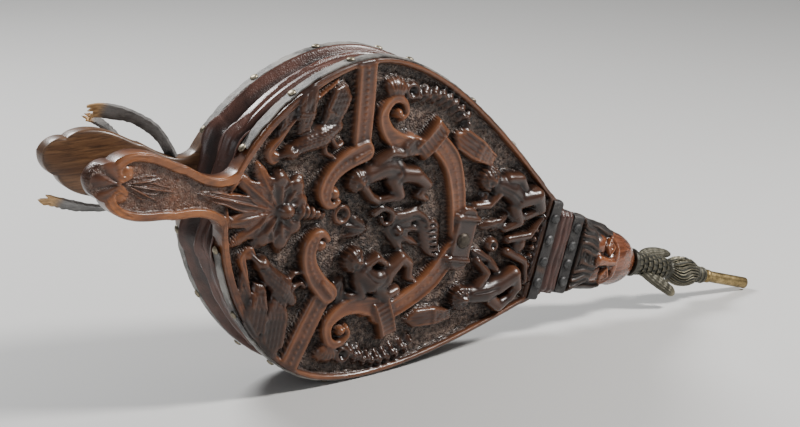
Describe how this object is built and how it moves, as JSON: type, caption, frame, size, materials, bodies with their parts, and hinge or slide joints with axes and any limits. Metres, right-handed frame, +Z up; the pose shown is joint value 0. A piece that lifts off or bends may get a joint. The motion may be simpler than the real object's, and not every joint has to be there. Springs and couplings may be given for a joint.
{
  "type": "hand bellows",
  "caption": "Carved walnut hand bellows with a leather gusset, an intake valve, a mask-shaped nozzle block and a bronze and brass nozzle, standing on edge.",
  "frame": {"origin": "middle of the footprint, on the ground", "axes": "+X towards the nozzle, +Y out of the plain rear board, +Z up with the bellows standing on its rims and nozzle tip"},
  "size_m": [0.6622, 0.1084, 0.2645],
  "materials": {
    "carved_walnut": "old wax, dark in the hollows, worn brown on the edges",
    "plain_walnut": "smooth, handled",
    "ash": "raw bent wood",
    "dark_leather": "creased and polished by use",
    "worn_trim": "grey, scuffed",
    "tan_leather": "raw flesh side",
    "iron": "dark, rubbed",
    "bronze": "dark patina",
    "brass": "dull, worn"
  },
  "bodies": {
    "rear": {"rear_board": "plain_walnut", "head_block": "carved_walnut", "nozzle_casting": "bronze", "nozzle_tube": "brass", "gusset": "dark_leather", "hinge_leather": "dark_leather", "head_band": "dark_leather", "head_band_stud_1": "iron", "head_band_stud_2": "iron", "head_band_stud_3": "iron", "head_band_stud_4": "iron", "rear_trim_upper": "worn_trim", "rear_trim_lower": "worn_trim", "rear_nail_upper_1": "iron", "rear_nail_upper_2": "iron", "rear_nail_upper_3": "iron", "rear_nail_upper_4": "iron", "rear_nail_upper_5": "iron", "rear_nail_upper_6": "iron", "rear_nail_lower_1": "iron", "rear_nail_lower_2": "iron", "rear_nail_lower_3": "iron", "rear_nail_lower_4": "iron", "rear_nail_lower_5": "iron", "rear_nail_lower_6": "iron", "head_screw_1": "iron", "head_screw_2": "iron", "valve_batten": "plain_walnut", "strap_loop": "dark_leather", "strap_tail": "dark_leather", "strap_tongue": "dark_leather"},
    "front": {"front_board": "carved_walnut", "front_band": "dark_leather", "front_band_stud_1": "iron", "front_band_stud_2": "iron", "front_band_stud_3": "iron", "front_band_stud_4": "iron", "front_trim_upper": "worn_trim", "front_trim_lower": "worn_trim", "front_nail_upper_1": "iron", "front_nail_upper_2": "iron", "front_nail_upper_3": "iron", "front_nail_upper_4": "iron", "front_nail_upper_5": "iron", "front_nail_upper_6": "iron", "front_nail_lower_1": "iron", "front_nail_lower_2": "iron", "front_nail_lower_3": "iron", "front_nail_lower_4": "iron", "front_nail_lower_5": "iron", "front_nail_lower_6": "iron", "boss_stud": "iron"},
    "hoop": {"fold_hoop": "ash"},
    "valve": {"valve_flap": "tan_leather", "valve_pad": "plain_walnut"}
  },
  "joints": [
    {"name": "board_swing", "type": "hinge", "parent": "rear", "child": "front", "pos_m": [0.1057, 0.01623, 0.07318], "axis": [0.2892, 0, 0.9573], "range_deg": [-3.5, 11], "deforming": ["gusset", "hinge_leather"]},
    {"name": "hoop_swing", "type": "hinge", "parent": "rear", "child": "hoop", "pos_m": [0.1057, 0.02048, 0.07318], "axis": [0.2892, 0, 0.9573], "range_deg": [-1.75, 5.5], "deforming": ["gusset"]},
    {"name": "valve_swing", "type": "hinge", "parent": "rear", "child": "valve", "pos_m": [-0.09115, 0.02443, 0.16503], "axis": [-0.9573, 0, 0.2892], "range_deg": [0, 15]}
  ],
  "couplings": [
    {"joint": "hoop_swing", "follows": "board_swing", "ratio": 0.5}
  ]
}
